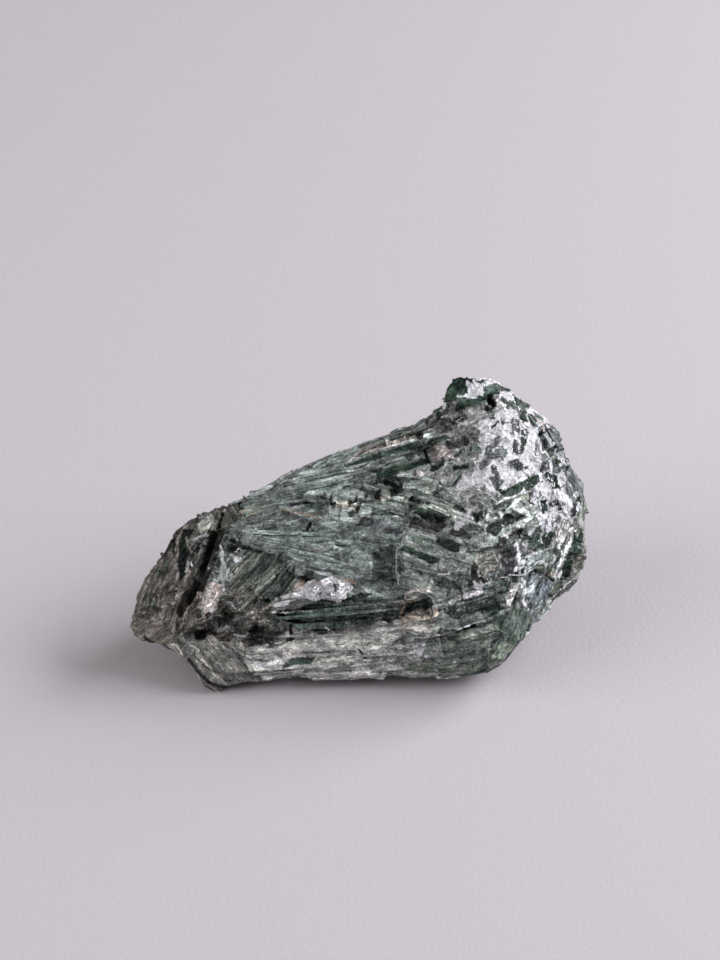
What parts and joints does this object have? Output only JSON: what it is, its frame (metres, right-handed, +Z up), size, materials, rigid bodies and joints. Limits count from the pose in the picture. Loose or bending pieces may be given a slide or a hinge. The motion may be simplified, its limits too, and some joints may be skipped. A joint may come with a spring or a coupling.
{
  "type": "actinolite mineral specimen",
  "caption": "Rough wedge of green actinolite blades grown together in pale talc, lying on its flat underside as a display specimen.",
  "frame": {"origin": "middle of the specimen's bounding box, on the surface it rests on", "axes": "+X along the wedge from its narrow end to its broad broken end, -Y towards the display side, +Z up"},
  "size_m": [0.122, 0.0666, 0.0665],
  "materials": {
    "actinolite": "silky green blades with pale talc seams, rough"
  },
  "bodies": {
    "root": {"actinolite_specimen": "actinolite"}
  },
  "joints": []
}
